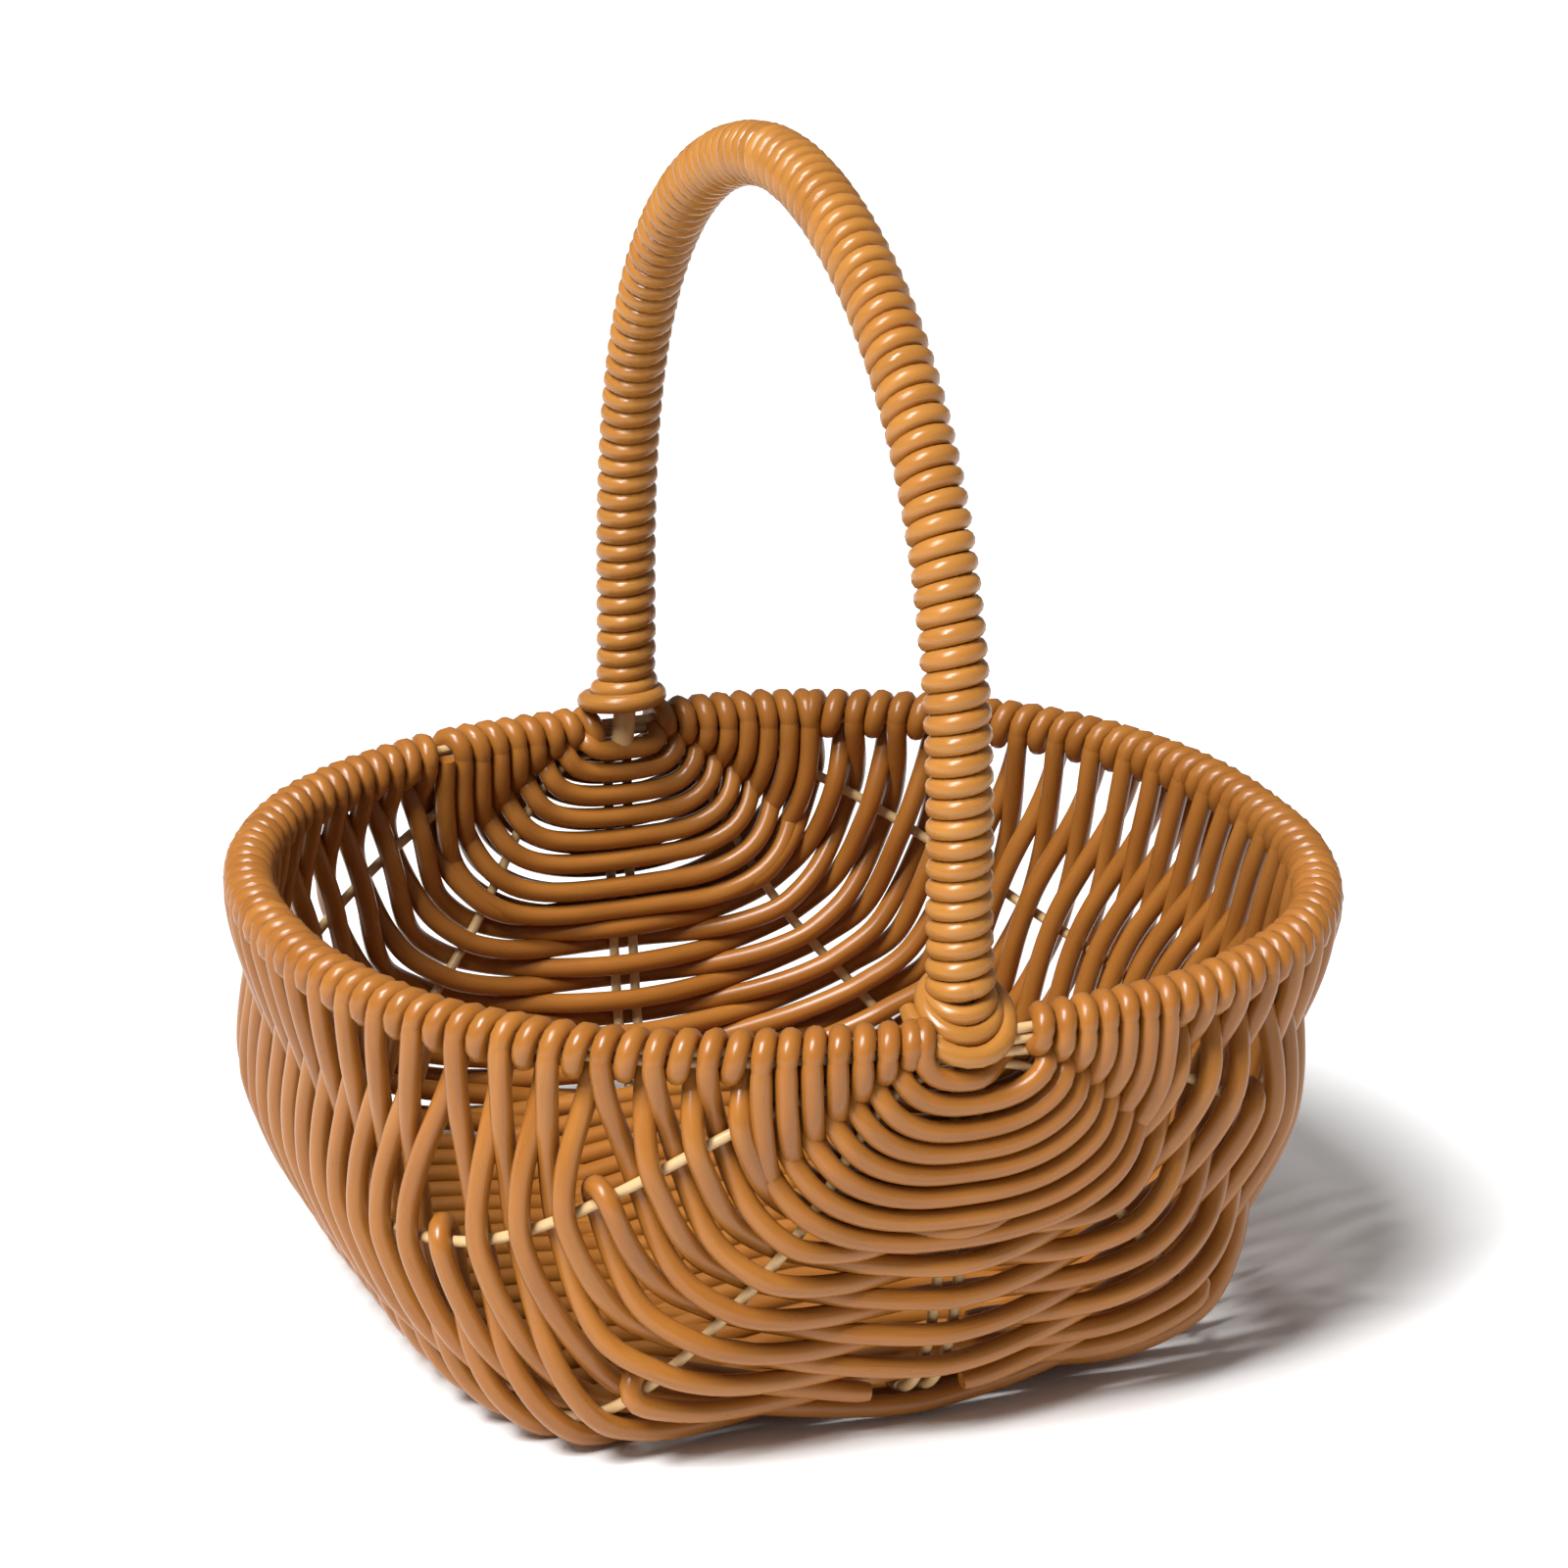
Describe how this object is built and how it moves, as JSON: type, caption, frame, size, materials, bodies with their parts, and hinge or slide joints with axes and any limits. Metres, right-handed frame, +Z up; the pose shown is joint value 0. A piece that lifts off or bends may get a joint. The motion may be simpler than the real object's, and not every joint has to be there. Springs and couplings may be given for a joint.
{
  "type": "fruit basket",
  "caption": "Oval woven fruit basket on a rod frame, open at the top, with a fixed wrapped hoop handle across its middle.",
  "frame": {"origin": "middle of the basket's bounding box at the resting face", "axes": "+Z up, X across the handle's hoop along the bowl's wider way, Y along the handle from the near joint (-Y) to the far joint (+Y)"},
  "size_m": [0.2642, 0.2598, 0.2872],
  "materials": {
    "frame_rod": "glossy plastic coat on thin steel rod",
    "winding_cane": "satin extruded cane, honey brown",
    "weaving_cane": "satin extruded cane, honey brown"
  },
  "bodies": {
    "root": {"rim_wire_upper": "frame_rod", "rim_wire_lower": "frame_rod", "handle_core": "frame_rod", "keel_rib_left": "frame_rod", "keel_rib_right": "frame_rod", "corner_rib_left": "frame_rod", "corner_rib_right": "frame_rod", "side_rib_left": "frame_rod", "side_rib_right": "frame_rod", "handle_winding_near": "winding_cane", "handle_winding_far": "winding_cane", "collar_near": "winding_cane", "collar_far": "winding_cane", "rim_turns_left": "winding_cane", "rim_turns_right": "winding_cane", "weave_near_fan": "weaving_cane", "weave_band_1": "weaving_cane", "weave_band_2": "weaving_cane", "weave_band_3": "weaving_cane", "weave_band_4": "weaving_cane", "weave_band_5": "weaving_cane", "weave_band_6": "weaving_cane", "weave_band_7": "weaving_cane", "weave_far_fan": "weaving_cane"}
  },
  "joints": []
}
